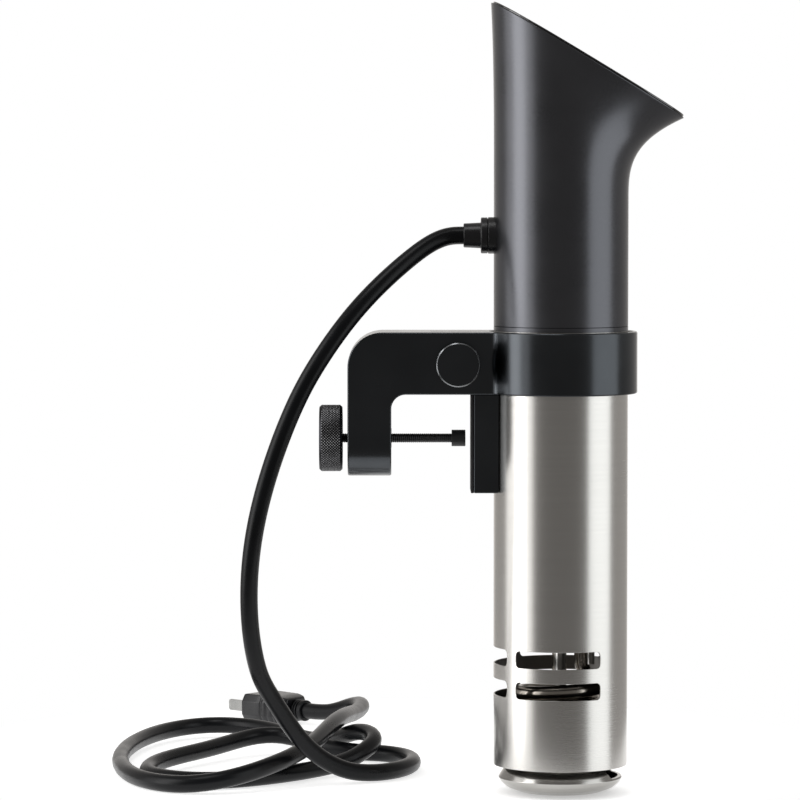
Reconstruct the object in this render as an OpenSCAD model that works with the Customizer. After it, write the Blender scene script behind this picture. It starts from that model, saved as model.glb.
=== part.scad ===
// Sous vide circulator: a steel tube with pump, heater and probes inside, a slanted
// touch display on top, and a screw clamp that slides and turns on the tube.
// Origin: centre of the flat foot under the end cap. +Z up, the clamp arm points
// to -X, the low end of the slanted display points to +X, the front is -Y. mm.

/* [Skirt tube] */
// Outer diameter of the steel tube
tube_d = 68; // [60:0.5:76]
// Wall thickness of the steel tube
tube_wall = 0.8; // [0.5:0.1:1.5]
// Height of the tube's lower edge above the foot
tube_z0 = 14.5; // [10:0.5:20]
// Height of the tube's upper edge
tube_z1 = 235.3; // [220:0.1:250]
// Height of one water slot
slot_h = 8.5; // [5:0.5:12]
// Angle that one slot spans
slot_span = 78; // [40:1:80]
// Angle from one slot to the next
slot_pitch = 89; // [85:0.5:120]
// Direction of the middle of the front slot
slot_first = 265.5; // [240:0.5:300]
// Centre heights of the two slot rows
slot_rows = [54.7, 70.5];
// Number of slots in a row, the clamp's far side stays closed
slot_count = 3; // [2:1:4]

/* [End cap] */
// Radius of the flat foot
foot_r = 14; // [8:1:20]
// Radius of the dish rim
cap_rim_r = 31.6; // [28:0.1:34]
// Height of the dish rim
cap_rim_z = 8.1; // [5:0.1:12]
// Radius of the neck below the tube
cap_neck_r = 27.7; // [24:0.1:30]
// Sheet thickness of the end cap
cap_wall = 1.4; // [0.8:0.1:2.5]
// Direction of the outlet window
outlet_dir = -2; // [-60:1:60]
// Width of the outlet window
outlet_w = 34; // [6:1:36]
// Height of the outlet window
outlet_h = 5; // [2:0.1:6]
// Height of the outlet window's lower edge
outlet_z = 8.8; // [8.6:0.1:10]

/* [Head] */
// Radius of the head at its lower edge
head_r = 34.1; // [30:0.1:38]
// Wall thickness of the head
head_wall = 2.4; // [1.5:0.1:4]
// Height of the head's lower edge
head_z0 = 237.5; // [230:0.5:245]
// Height where the head starts to flare
flare_z = 300; // [280:1:320]
// Exponent of the flare's curve
flare_power = 3.4; // [2:0.1:5]
// Reach of the top rim to the left
rim_left = 35.6; // [32:0.1:40]
// Reach of the top rim to the right
rim_right = 62.1; // [50:0.1:70]
// Half width of the top rim
rim_half_w = 34.6; // [30:0.1:38]
// Slope of the display
display_tilt = 30.8; // [0:0.1:45]
// Height of the head's top rim on the tube axis
rim_z = 379.9; // [360:0.1:400]
// Thickness of the display glass
glass_t = 1.2; // [0.8:0.1:3]
// Border between rim and glass edge
glass_border = 0.7; // [0.2:0.1:3]

/* [Clamp] */
// Outer radius of the collar ring
collar_r = 38.8; // [37:0.1:44]
// Lower face of the collar and the arm
clamp_z0 = 203.6; // [190:0.1:215]
// Upper face of the collar and the arm
clamp_z1 = 235; // [225:0.1:235]
// Reach of the arm from the tube axis
arm_reach = 108.1; // [90:0.1:130]
// Half width of the arm
arm_half_w = 19.1; // [12:0.1:24]
// Thickness of the arm's leg
leg_t = 22.1; // [12:0.1:30]
// Outer corner radius of the arm
arm_corner = 17.7; // [5:0.1:25]
// Inner corner radius of the arm
arm_fillet = 7.3; // [2:0.1:12]
// Radius of the blend between the arm and the collar
blend_r = 6; // [2:0.5:12]
// Height of the pot screw's axis
screw_z = 180.7; // [170:0.1:190]
// Lower end of the fixed jaw
jaw_z0 = 153.5; // [140:0.1:170]
// Distance of the jaw's gripping face from the tube axis
jaw_face = 45.8; // [40:0.1:55]
// Half width of the fixed jaw
jaw_half_w = 13.5; // [8:0.1:18]
// Thickness of the jaw's rubber pad
jaw_pad_t = 1.5; // [1:0.1:3]

/* [Screws and knobs] */
// Radius of the pot screw
screw_r = 2.4; // [2:0.1:4]
// Radius of the pot screw's pad
pad_r = 4.2; // [3:0.1:8]
// Radius of the knurled knob
knob_r = 17; // [12:0.1:22]
// Thickness of the knurled knob
knob_t = 11.7; // [8:0.1:16]
// Gap between the knurled knob and the leg
knob_gap = 2.7; // [0.5:0.1:6]
// Radius of the collar's side knob
side_knob_r = 11.1; // [8:0.1:14]
// Thickness of the collar's side knob
side_knob_t = 9; // [5:0.1:14]
// Distance of the side knob's axis from the tube axis
side_knob_x = 52.3; // [48:0.1:60]
// Height of the side knob's axis
side_knob_z = 219; // [212:0.1:224]

/* [Cord and plug] */
// Diameter of the power cord
cord_d = 9; // [6:0.5:10]
// Height of the cord's gland on the head
gland_z = 283.5; // [260:0.1:300]
// Distance of the gland's outer end from the tube axis
gland_reach = 49.5; // [44:0.5:60]
// Plug body, length, width and height
plug_size = [30, 28, 16];
// Blade length, width and thickness
blade_size = [16, 6.3, 1.5];

/* [Hidden] */
$fn = 64;
eps = 0.01;
tube_r = tube_d / 2;
tube_ri = tube_r - tube_wall;
run = 0.06;                     // radial running clearance
cap_flange_z = 18;              // end cap's flange inside the tube
spider_z = 21;                  // bearing spider stands on that flange
spider_h = 4;
shaft_r = 3;
bush_r = 5;
bush_z = [19, 27];
impeller_r = 16;
plug_z0 = 222;                  // bulkhead's underside
spigot_z1 = 244;                // bulkhead's upper side
spigot_r = head_r - head_wall - 0.2;
seal_z = 229;
mount_z = 252;                  // motor plate
mount_t = 2.5;
motor_z0 = mount_z + mount_t;
motor_z1 = 300;
motor_r = 18;
post_r = 22;                    // pitch radius of the motor plate's posts
shaft_joint_z = 249;
shaft_top = 314;
liner_r = 35.5;
lip_r = 36.6;
lip_h = 1;
coil_r = 22;                    // heater coil
coil_tube = 3.75;
coil_z = [30, 57];
coil_turns = 2.805;
coil_a0 = 115;
leg_x = arm_reach - leg_t;      // inner face of the arm's leg
jaw_relief_r = 34.4;
gland_r = 6.25;
knob_x = arm_reach + knob_gap;
pad_x = [jaw_face + 2.6, jaw_face + 9.6];
slit_w = 2;
slit_end = 66;
board_y = 22.4;

// Cord route, from the gland down the left side and round its loops to the plug
cord_route = [
    [-49.5, 0, 283.5], [-57, 0, 283.5], [-66, -4, 280], [-77, -11, 272], [-92, -21, 259],
    [-107, -28, 243], [-122, -33, 222], [-134, -35, 201], [-146, -35, 170], [-154, -31, 141],
    [-158, -22, 113], [-158, -12, 85], [-154, -2, 60], [-148, 6, 49], [-140, 12, 35],
    [-132, 18, 23], [-122, 24, 13], [-109, 29, 6], [-96, 34, 4.5], [-84, 44, 4.5], [-76, 62, 4.5],
    [-74, 82, 4.5], [-79, 100, 4.5], [-91, 112, 4.5], [-106, 115, 4.5], [-121, 121, 6],
    [-134, 131, 9], [-147, 139, 11], [-159, 138, 10.5], [-170, 128, 9], [-181, 112, 7.5],
    [-193, 93, 7], [-205, 74, 6.5], [-213, 54, 5.5], [-213, 34, 4.5], [-204, 17, 4.5],
    [-188, 7, 4.5], [-170, 9, 4.5], [-151, 22, 4.5], [-134, 39, 4.5], [-120, 54, 5], [-109, 63, 7],
    [-101, 72, 10.5], [-95, 84, 14], [-96, 99, 16.5], [-104, 114, 16.5], [-113, 130, 11],
    [-122, 147, 6], [-132, 163, 5], [-142, 178, 5.5], [-155, 195, 6.5], [-169, 206, 7],
    [-185, 211, 7], [-200, 206, 6.5], [-213, 190, 6], [-223, 164, 5.5], [-229, 132, 5],
    [-231, 98, 4.5], [-228, 62, 4.5], [-221, 28, 4.5], [-209, 3, 4.5], [-192, -9, 4.5],
    [-174, -9, 6.5], [-158, 0, 9.5], [-145, 14, 12.5], [-134, 34, 15], [-125, 68, 17.5],
    [-118, 102, 21.5], [-112, 138, 21.5], [-107, 176, 17.5], [-103, 206, 17], [-103, 224, 17],
    [-109, 240, 14.5], [-121, 252, 8], [-135, 264, 8]];
plug_at = cord_route[len(cord_route) - 1];
plug_step = plug_at - cord_route[len(cord_route) - 2];
plug_turn = atan2(plug_step[1], plug_step[0]);
blade_y = 6.35;                  // distance of a blade from the plug's middle
plug_ring = [6, 3];              // radius and width of the ring at the cord's end
plug_grip = 6;                   // length of the ribbed grip
cord_rings = 78;
cord_sides = 12;

// ---- shared shapes ----
module ring(r_out, r_in, z0, z1) {
    translate([0, 0, z0]) difference() {
        cylinder(r = r_out, h = z1 - z0);
        translate([0, 0, -1]) cylinder(r = r_in, h = z1 - z0 + 2);
    }
}
module rod(r, z0, z1, at = [0, 0]) {
    translate([at[0], at[1], z0]) cylinder(r = r, h = z1 - z0);
}
// cylinder along X from x0 to x1, both counted towards -X
module left_rod(r, x0, x1, z) {
    translate([-x1, 0, z]) rotate([0, 90, 0]) cylinder(r = r, h = x1 - x0);
}
module front_rod(r, y0, y1, x, z) {
    translate([x, y1, z]) rotate([90, 0, 0]) cylinder(r = r, h = y1 - y0);
}

// ---- swept tubes ----
function unit(v) = v / norm(v);
function ghost(p) = concat([2 * p[0] - p[1]], p, [2 * p[len(p) - 1] - p[len(p) - 2]]);
function blend4(p, i, t) =
    pow(1 - t, 3) / 6 * p[i] + (3 * pow(t, 3) - 6 * t * t + 4) / 6 * p[i + 1]
    + (-3 * pow(t, 3) + 3 * t * t + 3 * t + 1) / 6 * p[i + 2] + pow(t, 3) / 6 * p[i + 3];
function along(p, u) = let (i = min(floor(u), len(p) - 4)) blend4(p, i, u - i);
function smooth(route, rings) = let (p = ghost(route), n = len(route) - 1)
    [for (k = [0:rings - 1]) along(p, k * n / (rings - 1))];
function tangents(c, t0, t1) = let (n = len(c)) [for (i = [0:n - 1])
    i == 0 ? t0 : i == n - 1 ? t1 : unit(c[i + 1] - c[i - 1])];
function square_to(v, t) = unit(v - (v * t) * t);
function normals(t, first) = [for (i = 0, v = square_to(first, t[0]); i < len(t);
    i = i + 1, v = square_to(v, t[min(i, len(t) - 1)])) v];
// tube along the points c; t0 and t1 are its directions at the two ends
module swept(c, r, sides, first, t0, t1) {
    t = tangents(c, t0, t1);
    n = normals(t, first);
    rings = len(c);
    pts = [for (i = [0:rings - 1]) for (k = [0:sides - 1])
        c[i] + r * (cos(360 * k / sides) * n[i] + sin(360 * k / sides) * cross(t[i], n[i]))];
    walls = [for (i = [0:rings - 2]) for (k = [0:sides - 1]) let (
        a = i * sides + k, b = i * sides + (k + 1) % sides)
        each [[a, a + sides, b], [b, a + sides, b + sides]]];
    ends = [[for (k = [0:sides - 1]) k],
        [for (k = [sides - 1:-1:0]) (rings - 1) * sides + k]];
    polyhedron(points = pts, faces = concat(walls, ends), convexity = 10);
}

// ---- tube and foot ----
module slot(dir, z) {
    half = slot_span / 2;
    rotate([0, 0, dir]) translate([0, 0, z - slot_h / 2]) linear_extrude(slot_h)
        polygon([[0, 0], [50 * cos(half), -50 * sin(half)], [50, 0],
            [50 * cos(half), 50 * sin(half)]]);
}
module skirt_tube() {
    color("silver") difference() {
        ring(tube_r, tube_ri, tube_z0, tube_z1);
        for (z = slot_rows) for (k = [0:slot_count - 1]) slot(slot_first - k * slot_pitch, z);
    }
}
module end_cap() {
    w = cap_wall;
    color("silver") difference() {
        rotate_extrude() polygon([[0, 0], [foot_r, 0], [22, 1], [27.5, 3.2],
            [30.4, 5.8], [cap_rim_r, cap_rim_z], [cap_neck_r, tube_z0],
            [cap_neck_r, cap_flange_z], [tube_ri, cap_flange_z], [tube_ri, spider_z],
            [cap_neck_r - w, spider_z], [cap_neck_r - w, tube_z0 - 0.4],
            [cap_rim_r - 1.9, cap_rim_z + 0.1], [28.6, 6.7], [26.6, 4.7], [21.6, 2.4],
            [foot_r, w], [0, w]]);
        rotate([0, 0, outlet_dir]) translate([cap_neck_r - 5, -outlet_w / 2, outlet_z])
            cube([12, outlet_w, outlet_h]);
    }
}
module bearing_spider() {
    color("dimgray") difference() {
        union() {
            ring(tube_ri, tube_ri - 4, spider_z, spider_z + spider_h);
            rod(8, spider_z, spider_z + spider_h);
            for (a = [90, 210, 330]) rotate([0, 0, a])
                translate([6, -2.5, spider_z]) cube([24.5, 5, spider_h]);
        }
        rod(bush_r, spider_z - 1, spider_z + spider_h + 1);
    }
}
module shaft_bush() {
    color("tan") ring(bush_r, shaft_r + 0.05, bush_z[0], bush_z[1]);
}

// ---- heater and probes ----
module heater_coil() {
    turn = 360 * coil_turns;
    steps = ceil(coil_turns * 20);
    helix = [for (k = [0:steps]) [coil_r * cos(coil_a0 + turn * k / steps),
        coil_r * sin(coil_a0 + turn * k / steps),
        coil_z[0] + (coil_z[1] - coil_z[0]) * k / steps]];
    a1 = coil_a0 + turn + 8;
    inner = [[0, 13, plug_z0], [0, 13, 60], [0, 13, 45], [0.3, 13.2, 38], [-1, 15, 32.5],
        [-4, 18.2, 30.3]];
    outer = [[coil_r * cos(a1), coil_r * sin(a1), 59], [coil_r * cos(a1 + 5),
        coil_r * sin(a1 + 5), 63], [coil_r * cos(a1 + 6), coil_r * sin(a1 + 6), 70],
        [coil_r * cos(a1 + 6), coil_r * sin(a1 + 6), plug_z0]];
    color("silver") swept(concat(inner, helix, outer), coil_tube, 10, [1, 0, 0],
        [0, 0, -1], [0, 0, 1]);
}
module temp_probe() {
    color("silver") rod(2, 64, plug_z0, [16, 12]);
}
module level_probes() {
    color("silver") {
        rod(1.5, 90, plug_z0, [-20, 10]);
        rod(1.5, 150, plug_z0, [20, 0]);
    }
}

// ---- head ----
module bulkhead() {
    color("dimgray") difference() {
        union() {
            rod(tube_ri, plug_z0, tube_z1);
            rod(head_r, tube_z1, head_z0);
            rod(spigot_r, head_z0, spigot_z1);
        }
        rod(shaft_r + 0.4, plug_z0 - 1, spigot_z1 + 1);
        rod(6, plug_z0 - 1, plug_z0 + 4);
        ring(tube_ri + 1, tube_ri - 1.9, seal_z - 1, seal_z + 1);
    }
}
module bulkhead_seal() {
    color("black") rotate_extrude() translate([tube_ri - 0.95, seal_z]) circle(r = 0.95);
}
module shaft_seal() {
    color("black") ring(6, shaft_r + 0.05, plug_z0, plug_z0 + 4);
}
// one point of the head's skin: a = direction, s = 0 at flare_z .. 1 at the rim
function rim_x(a, inset) = cos(a) * ((cos(a) > 0 ? rim_right : rim_left) - inset);
function rim_y(a, inset) = sin(a) * (rim_half_w - inset);
function skin(a, s, inset) = let (
    f = pow(s, flare_power), r = head_r - inset,
    x1 = rim_x(a, inset * (cos(a) > 0 ? 1.7 : 1.1)), y1 = rim_y(a, inset),
    top = rim_z - x1 * tan(display_tilt))
    [r * cos(a) * (1 - f) + x1 * f, r * sin(a) * (1 - f) + y1 * f,
        flare_z + s * (top - flare_z)];
function skin_low(a, inset) = [(head_r - inset) * cos(a), (head_r - inset) * sin(a), head_z0];
module head_shell() {
    m = 64;
    levels = [0, 0.2, 0.36, 0.5, 0.6, 0.68, 0.75, 0.81, 0.86, 0.9, 0.94, 0.97, 1];
    nl = len(levels) + 1;
    side = function(inset) concat([for (k = [0:m - 1]) skin_low(360 * k / m, inset)],
        [for (s = levels) for (k = [0:m - 1]) skin(360 * k / m, s, inset)]);
    pts = concat(side(0), side(head_wall));
    inner = nl * m;
    walls = [for (i = [0:nl - 2]) for (k = [0:m - 1]) let (
        a = i * m + k, b = i * m + (k + 1) % m)
        each [[a, a + m, b], [b, a + m, b + m],
            [inner + a, inner + b, inner + a + m], [inner + b, inner + b + m, inner + a + m]]];
    caps = [for (k = [0:m - 1]) let (k1 = (k + 1) % m, t = (nl - 1) * m)
        each [[k, k1, inner + k], [k1, inner + k1, inner + k],
            [t + k, inner + t + k, t + k1], [t + k1, inner + t + k, inner + t + k1]]];
    color("#1b1b1d") difference() {
        polyhedron(points = pts, faces = concat(walls, caps), convexity = 6);
        left_rod(gland_r, head_r - 8, head_r + 4, gland_z);
    }
}
module tilted(lift) {
    translate([0, 0, rim_z]) rotate([0, display_tilt, 0]) translate([0, 0, lift])
        children();
}
module rim_plate(inset_left, inset_right, inset_w, t) {
    linear_extrude(t) polygon([for (k = [0:95]) let (a = 360 * k / 96)
        [cos(a) * (cos(a) > 0 ? rim_right - inset_right : rim_left - inset_left)
            / cos(display_tilt), sin(a) * (rim_half_w - inset_w)]]);
}
module display_glass() {
    color("black") tilted(0)
        rim_plate(glass_border, glass_border, glass_border, glass_t);
}
module display_module() {
    color("darkgreen") tilted(-4) rim_plate(8, 19, 8, 4);
}
module motor_mount() {
    color("lightgray") difference() {
        union() {
            rod(25, mount_z, motor_z0);
            for (a = [30, 150, 270]) rotate([0, 0, a])
                rod(2.5, spigot_z1, motor_z0, [post_r, 0]);
        }
        rod(7, mount_z - 1, motor_z0 + 1);
    }
}
module mount_screws() {
    color("silver") for (a = [30, 150, 270]) rotate([0, 0, a])
        rod(2.5, motor_z0, motor_z0 + 2, [post_r, 0]);
}
module motor_can() {
    color("silver") difference() {
        rod(motor_r, motor_z0, motor_z1);
        rod(motor_r - 1.5, motor_z0 + 2, motor_z1 - 2);
        rod(shaft_r + 0.05, motor_z0 - 1, motor_z1 + 1);
    }
}
module motor_stator() {
    color("peru") ring(motor_r - 1.5, 11, 262, 292);
}
module power_board() {
    color("darkgreen") {
        translate([-17, board_y, motor_z0]) cube([34, 1.6, 80]);
        translate([-12, board_y - 12, 317]) cube([24, 12, 16]);
    }
}
module cord_gland() {
    color("#1b1b1d") {
        left_rod(gland_r, head_r - 7, gland_reach, gland_z);
        left_rod(9.1, 37.3, 40.6, gland_z);
        difference() {
            union() {
                left_rod(9.25, head_r - 3, 37, gland_z);
                left_rod(8.6, 36.9, 37.4, gland_z);
            }
            rod(head_r + 0.02, gland_z - 12, gland_z + 12);
        }
    }
}
module gland_nut() {
    color("dimgray") difference() {
        left_rod(9, 26.4, 30, gland_z);
        left_rod(gland_r, 20, 34, gland_z);
    }
}

// ---- cord and plug ----
module cord() {
    color("#202022") swept(smooth(cord_route, cord_rings), cord_d / 2, cord_sides,
        [0, 0, 1], [-1, 0, 0], unit(plug_step));
}
module at_plug() {
    translate(plug_at) rotate([0, 0, plug_turn]) children();
}
module plug_relief() {
    color("#202022") at_plug() rotate([0, 90, 0]) {
        cylinder(r = plug_ring[0], h = plug_ring[1]);
        cylinder(r1 = 4.8, r2 = 5.8, h = plug_ring[1] + plug_grip - 1);
    }
}
module plug_body() {
    x0 = plug_ring[1] + plug_grip - 1;
    color("#1b1b1d") at_plug()
        translate([x0, -plug_size[1] / 2, -plug_size[2] / 2]) cube(plug_size);
}
module plug_blades() {
    x0 = plug_ring[1] + plug_grip - 1 + plug_size[0];
    color("gold") at_plug() for (y = [-blade_y, blade_y])
        translate([x0, y - blade_size[2] / 2, -blade_size[1] / 2])
            cube([blade_size[0], blade_size[2], blade_size[1]]);
}

// ---- rotating train ----
module drive_shaft() {
    color("silver") rod(shaft_r, 4.5, shaft_joint_z);
}
module impeller() {
    color("dimgray") difference() {
        union() {
            rod(5.5, 4.5, 14);
            rod(impeller_r, 4.5, 6);
            for (a = [0:60:300]) rotate([0, 0, a])
                translate([4.5, -0.8, 5.5]) cube([impeller_r - 5, 1.6, 7]);
        }
        rod(shaft_r, 4, 15);
    }
}
module shaft_coupling() {
    color("dimgray") ring(6, shaft_r, 244.8, 253.6);
}
module motor_shaft() {
    color("silver") rod(shaft_r, shaft_joint_z, shaft_top);
}
module motor_rotor() {
    color("gray") ring(10, shaft_r, 264, 290);
}
module cooling_fan() {
    color("dimgray") difference() {
        union() {
            rod(7, 305, shaft_top);
            for (a = [0:72:288]) rotate([0, 0, a]) translate([5, -0.8, 306]) rotate([25, 0, 0])
                cube([14, 1.6, 7]);
        }
        rod(shaft_r, 300, 320);
    }
}

// ---- clamp ----
module collar_liner() {
    color("ivory") difference() {
        union() {
            rod(liner_r, clamp_z0, clamp_z1);
            rod(lip_r, clamp_z0, clamp_z0 + lip_h);
            rod(lip_r, clamp_z1 - lip_h, clamp_z1);
        }
        rod(tube_r + run, clamp_z0 - 1, clamp_z1 + 1);
    }
}
// the blend between the arm's side face and the ring, seen from above
module plan_blend() {
    cy = arm_half_w + blend_r;
    cx = sqrt(pow(collar_r + blend_r, 2) - cy * cy);
    k = collar_r / (collar_r + blend_r);
    difference() {
        polygon([[-cx, -arm_half_w], [-cx * k, -cy * k], [-cx * k + 3, -arm_half_w]]);
        translate([-cx, -cy]) circle(r = blend_r);
    }
}
module arm_side() {
    difference() {
        union() {
            translate([arm_corner - arm_reach, clamp_z0])
                square([arm_reach - arm_corner - 20, clamp_z1 - clamp_z0]);
            translate([arm_corner - arm_reach, clamp_z1 - arm_corner])
                circle(r = arm_corner);
            translate([-arm_reach, screw_z - arm_half_w])
                square([leg_t, clamp_z1 - arm_corner - screw_z + arm_half_w]);
            translate([-leg_x - eps, clamp_z0 - arm_fillet])
                square([arm_fillet + eps, arm_fillet + eps]);
        }
        translate([arm_fillet - leg_x, clamp_z0 - arm_fillet]) circle(r = arm_fillet);
    }
}
module clamp_collar() {
    color("#1b1b1d") difference() {
        union() {
            rod(collar_r, clamp_z0, clamp_z1);
            for (m = [0, 1]) mirror([0, m, 0]) translate([0, 0, clamp_z0])
                linear_extrude(clamp_z1 - clamp_z0) plan_blend();
            intersection() {
                translate([0, arm_half_w, 0]) rotate([90, 0, 0])
                    linear_extrude(2 * arm_half_w) arm_side();
                union() {
                    left_rod(arm_half_w, 0, arm_reach + 1, screw_z);
                    translate([-arm_reach - 1, -arm_half_w, screw_z])
                        cube([arm_reach + 1, 2 * arm_half_w, 80]);
                }
            }
        }
        rod(liner_r + run, clamp_z0 - 1, clamp_z1 + 1);
        rod(lip_r + 0.3, clamp_z0 - 1, clamp_z0 + lip_h + 0.1);
        rod(lip_r + 0.3, clamp_z1 - lip_h - 0.1, clamp_z1 + 1);
        translate([-slit_end, -slit_w / 2, clamp_z0 - 1])
            cube([slit_end - liner_r + 1, slit_w, clamp_z1 - clamp_z0 + 2]);
        front_rod(3 + run, -30, 30, -side_knob_x, side_knob_z);
        translate([-side_knob_x, arm_half_w - 4, side_knob_z]) rotate([-90, 0, 0])
            cylinder(r = 6.4, h = 5, $fn = 6);
        left_rod(5, leg_x - 2, arm_reach + 1, screw_z);
    }
}
module fixed_jaw() {
    x0 = jaw_face - jaw_pad_t;
    color("#1b1b1d") difference() {
        translate([-x0, -jaw_half_w, jaw_z0])
            cube([x0 - 25, 2 * jaw_half_w, clamp_z0 - jaw_z0]);
        rod(jaw_relief_r, jaw_z0 - 1, clamp_z0 + 1);
        rod(lip_r + 0.3, clamp_z0 - 0.5, clamp_z0 + 1);
    }
}
module jaw_pad() {
    color("#333333") translate([-jaw_face, 0.5 - jaw_half_w, jaw_z0])
        cube([jaw_pad_t, 2 * jaw_half_w - 1, clamp_z0 - jaw_z0]);
}
module threaded_bush() {
    color("gold") difference() {
        left_rod(5, leg_x, arm_reach, screw_z);
        left_rod(screw_r + 0.05, leg_x - 5, arm_reach + 5, screw_z);
    }
}
module collar_nut() {
    color("silver") difference() {
        translate([-side_knob_x, arm_half_w - 4, side_knob_z]) rotate([-90, 0, 0])
            cylinder(r = 6.4, h = 4, $fn = 6);
        front_rod(3 + run, 0, 30, -side_knob_x, side_knob_z);
    }
}
module side_screw() {
    color("silver") front_rod(3, -arm_half_w - 3, arm_half_w + 2, -side_knob_x, side_knob_z);
}
module side_knob() {
    y1 = -arm_half_w - 0.4;
    color("#1b1b1d") difference() {
        front_rod(side_knob_r, y1 - side_knob_t, y1, -side_knob_x, side_knob_z);
        front_rod(3, -arm_half_w - 3, 0, -side_knob_x, side_knob_z);
    }
}
module screw_pad() {
    color("#333333") difference() {
        left_rod(pad_r, pad_x[0], pad_x[1], screw_z);
        left_rod(screw_r + 0.05, pad_x[1] - 3.1, pad_x[1] + 1, screw_z);
    }
}
module pot_screw() {
    color("silver") left_rod(screw_r, pad_x[1] - 3, knob_x + knob_t - 2, screw_z);
}
module screw_knob() {
    color("#1b1b1d") difference() {
        left_rod(knob_r, knob_x, knob_x + knob_t, screw_z);
        left_rod(screw_r, knob_x - 1, knob_x + knob_t - 2, screw_z);
    }
}

skirt_tube();
end_cap();
bearing_spider();
shaft_bush();
heater_coil();
temp_probe();
level_probes();
bulkhead();
bulkhead_seal();
shaft_seal();
motor_mount();
mount_screws();
motor_can();
motor_stator();
power_board();
head_shell();
display_module();
display_glass();
cord_gland();
gland_nut();
cord();
plug_relief();
plug_body();
plug_blades();
drive_shaft();
impeller();
shaft_coupling();
motor_shaft();
motor_rotor();
cooling_fan();
collar_liner();
clamp_collar();
fixed_jaw();
jaw_pad();
threaded_bush();
collar_nut();
side_knob();
side_screw();
screw_pad();
pot_screw();
screw_knob();
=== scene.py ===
"""Looks of the sous vide circulator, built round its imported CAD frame.

Lengths are in metres, in the CAD frame: the origin is the centre of the foot, +Z is up, the
front is towards -Y, the clamp's arm points to -X and the display's low end to +X.
"""
import math

import bmesh
import bpy
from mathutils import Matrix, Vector


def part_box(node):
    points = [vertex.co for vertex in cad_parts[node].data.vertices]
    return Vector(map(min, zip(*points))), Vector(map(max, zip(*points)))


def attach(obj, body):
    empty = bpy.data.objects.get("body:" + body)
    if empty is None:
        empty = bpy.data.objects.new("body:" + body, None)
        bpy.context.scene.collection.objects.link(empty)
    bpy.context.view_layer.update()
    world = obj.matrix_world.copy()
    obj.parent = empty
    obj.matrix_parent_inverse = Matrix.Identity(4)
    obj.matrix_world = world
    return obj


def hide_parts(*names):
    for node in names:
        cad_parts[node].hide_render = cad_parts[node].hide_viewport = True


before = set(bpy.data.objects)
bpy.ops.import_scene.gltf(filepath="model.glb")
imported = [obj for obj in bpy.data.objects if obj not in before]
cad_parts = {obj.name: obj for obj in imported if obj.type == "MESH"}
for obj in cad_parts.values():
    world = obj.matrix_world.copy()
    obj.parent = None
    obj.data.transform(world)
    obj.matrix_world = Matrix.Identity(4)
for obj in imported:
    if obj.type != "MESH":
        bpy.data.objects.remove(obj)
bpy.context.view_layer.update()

MM = 0.001
TAU = 2 * math.pi


# ---- camera: far off and a little above the middle, looking slightly down ----
CAMERA_AT = Vector((-0.0816, -2.174, 0.3166))
CAMERA_AIM = Vector((-0.0816, 0.0, 0.2000))
FOCAL_MM = 193.0
SENSOR_MM = 36
FARTHEST = 50


def make_camera():
    data = bpy.data.cameras.new("camera")
    data.lens = FOCAL_MM
    data.sensor_width = SENSOR_MM
    data.clip_end = FARTHEST
    camera = bpy.data.objects.new("camera", data)
    camera.location = CAMERA_AT
    camera.rotation_euler = (CAMERA_AIM - CAMERA_AT).to_track_quat("-Z", "Y").to_euler()
    bpy.context.scene.collection.objects.link(camera)
    bpy.context.scene.camera = camera


make_camera()


# ---- materials ----
finishes = {}                # every material by its name


class Nodes:
    """A material's node tree, with one short call for each kind of node."""

    def __init__(self, name):
        self.material = bpy.data.materials.new(name)
        self.material.use_nodes = True
        self.tree = self.material.node_tree
        self.shader = self.tree.nodes["Principled BSDF"]
        self.place = self.add("ShaderNodeTexCoord").outputs["Object"]

    def add(self, kind, links=(), **values):
        node = self.tree.nodes.new(kind)
        for key, value in values.items():
            setattr(node, key, value)
        for socket, source in dict(links).items():
            self.set(node.inputs[socket], source)
        return node

    def set(self, socket, source):
        if isinstance(source, bpy.types.NodeSocket):
            self.tree.links.new(source, socket)
        else:
            socket.default_value = source

    def stretched(self, scale):
        return self.add("ShaderNodeMapping", {"Vector": self.place, "Scale": scale}).outputs[0]

    def noise(self, size, detail=2.0, stretch=(1, 1, 1)):
        """Soft patches about size wide, and narrower along an axis whose stretch is above 1."""
        links = {"Vector": self.stretched(stretch), "Scale": 1 / size, "Detail": detail}
        return self.add("ShaderNodeTexNoise", links).outputs["Fac"]

    def between(self, factor, low, high, start=0.3, end=0.7):
        """low up to where the factor is start, high from where it is end."""
        links = {"Value": factor, 1: start, 2: end, 3: low, 4: high}
        return self.add("ShaderNodeMapRange", links).outputs[0]

    def mix(self, factor, a, b):
        node = self.add("ShaderNodeMix", data_type="RGBA")
        self.set(node.inputs["Factor"], factor)
        self.set(node.inputs[6], a)
        self.set(node.inputs[7], b)
        return node.outputs[2]

    def edges(self):
        """1 on the piece's outer edges and 0 elsewhere."""
        pointed = self.add("ShaderNodeNewGeometry").outputs["Pointiness"]
        return self.between(pointed, 0.0, 1.0, 0.52, 0.6)

    def off_axis(self, z, start, end):
        """From 0 to 1 with the distance from the axis along X at that height."""
        across = self.add("ShaderNodeVectorMath", {0: self.place, 1: (0, 0, z)},
                          operation="SUBTRACT").outputs[0]
        across = self.add("ShaderNodeVectorMath", {0: across, 1: (0, 1, 1)},
                          operation="MULTIPLY").outputs[0]
        distance = self.add("ShaderNodeVectorMath", {0: across}, operation="LENGTH")
        return self.between(distance.outputs["Value"], 0.0, 1.0, start, end)

    def bump(self, height, depth):
        return self.add("ShaderNodeBump", {"Height": height, "Distance": depth,
                                           "Strength": 1.0}).outputs[0]

    def sum(self, a, b):
        return self.add("ShaderNodeMath", {0: a, 1: b}).outputs[0]

    def surface(self, **values):
        """Sets the shader's sockets, named with _ for each space."""
        for name, value in values.items():
            self.set(self.shader.inputs[name.replace("_", " ")], value)


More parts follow.
